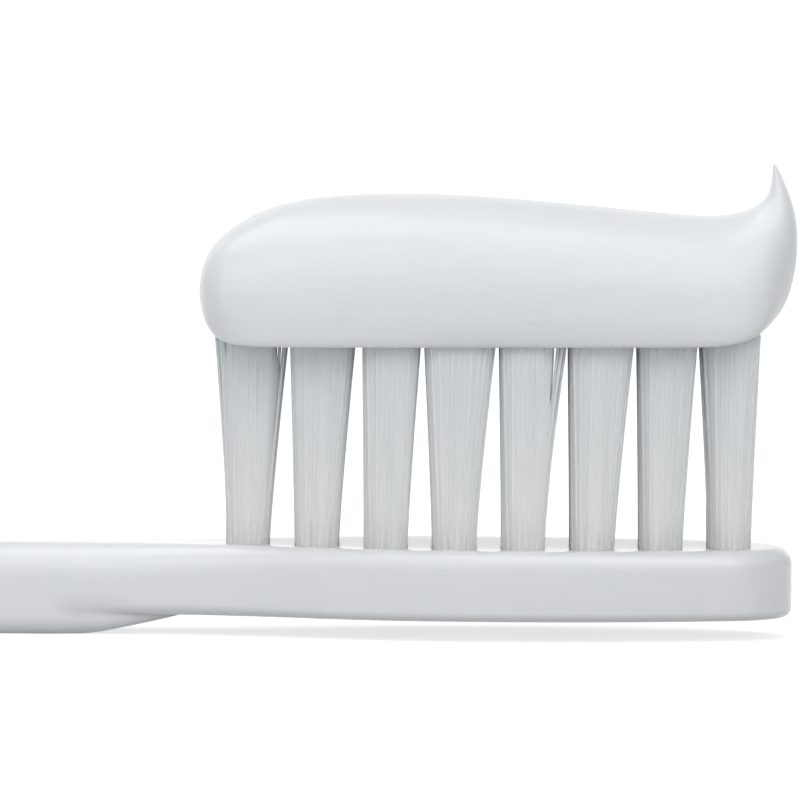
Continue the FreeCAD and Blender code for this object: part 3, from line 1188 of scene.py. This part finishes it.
def make_world():
    world = bpy.data.worlds.new("white_studio")
    bpy.context.scene.world = world
    world.use_nodes = True
    nodes = world.node_tree.nodes
    links = world.node_tree.links
    nodes.clear()
    strength = nodes.new("ShaderNodeMapRange")
    strength.inputs["To Min"].default_value = WORLD_LEVEL
    strength.inputs["To Max"].default_value = 1.0
    light = nodes.new("ShaderNodeBackground")
    output = nodes.new("ShaderNodeOutputWorld")
    links.new(seen_by_eye_or_gloss(nodes, links), strength.inputs["Value"])
    links.new(strength.outputs["Result"], light.inputs["Strength"])
    links.new(light.outputs[0], output.inputs["Surface"])


make_world()
print("white world made")

# %% [markdown]
# The light in the picture is soft and comes from all along the brush, so the three main lamps
# are long strips: one above, one in front and above, and a weaker one in front and low, which
# reaches under the ribbon. Two smaller ones open up the two ends, and a faint one behind shows
# the edges of the bristles. All of them look at the same spot.

# %% Lamps
FOCUS = Vector((72.11, 0.0, 10.66)) * MM


def add_softbox(name, place, size, power):
    lamp = bpy.data.lights.new(name, "AREA")
    lamp.shape = "RECTANGLE"
    lamp.size, lamp.size_y = size
    lamp.energy = power
    box = bpy.data.objects.new(name, lamp)
    box.location = place
    box.rotation_euler = (FOCUS - Vector(place)).to_track_quat("-Z", "Y").to_euler()
    bpy.context.scene.collection.objects.link(box)
    return box


add_softbox("top_softbox", (0.05, -0.02, 0.62), (2.0, 0.3), 3.4)
add_softbox("front_softbox", (0.05, -0.45, 0.43), (2.0, 0.4), 2.75)
add_softbox("low_softbox", (0.05, -0.62, 0.1), (2.0, 0.2), 1.0)
add_softbox("left_softbox", (-0.55, -0.1, 0.25), (0.4, 0.4), 0.75)
add_softbox("right_softbox", (0.45, -0.55, 0.2), (0.4, 0.4), 0.4)
add_softbox("back_softbox", (0.07, 0.6, 0.15), (0.7, 0.3), 0.26)
print("six softboxes")

# %% [markdown]
# The photograph is taken from a few degrees above the head of the brush, from far away with a
# long lens, which leaves almost no perspective. The frame spans 36.4 mm where the camera looks,
# so 22 pixels are a millimetre, and the camera is turned half a degree about its own axis.

# %% Camera
CAMERA_DISTANCE = 1.0
CAMERA_ELEVATION = 3.7
CAMERA_ROLL = 0.5
PIXELS_ACROSS = 800
PIXELS_PER_MM = 22.0
FRAME_WIDTH = PIXELS_ACROSS / PIXELS_PER_MM
SENSOR = 36.0

eye = bpy.data.cameras.new("camera")
eye.sensor_width = SENSOR
eye.lens = SENSOR * CAMERA_DISTANCE / (FRAME_WIDTH * MM)
eye.clip_start = 0.05
eye.clip_end = 20.0
camera = bpy.data.objects.new("camera", eye)
rise = math.radians(CAMERA_ELEVATION)
camera.location = FOCUS + Vector((0, -math.cos(rise), math.sin(rise))) * CAMERA_DISTANCE
camera.rotation_mode = "XYZ"
look = (FOCUS - camera.location).to_track_quat("-Z", "Y")
roll = math.radians(CAMERA_ROLL)
camera.rotation_euler = (look.to_matrix() @ Matrix.Rotation(roll, 3, "Z")).to_euler()
bpy.context.scene.collection.objects.link(camera)
bpy.context.scene.camera = camera
bpy.context.scene.view_settings.view_transform = "Standard"
print("lens", round(eye.lens), "mm")
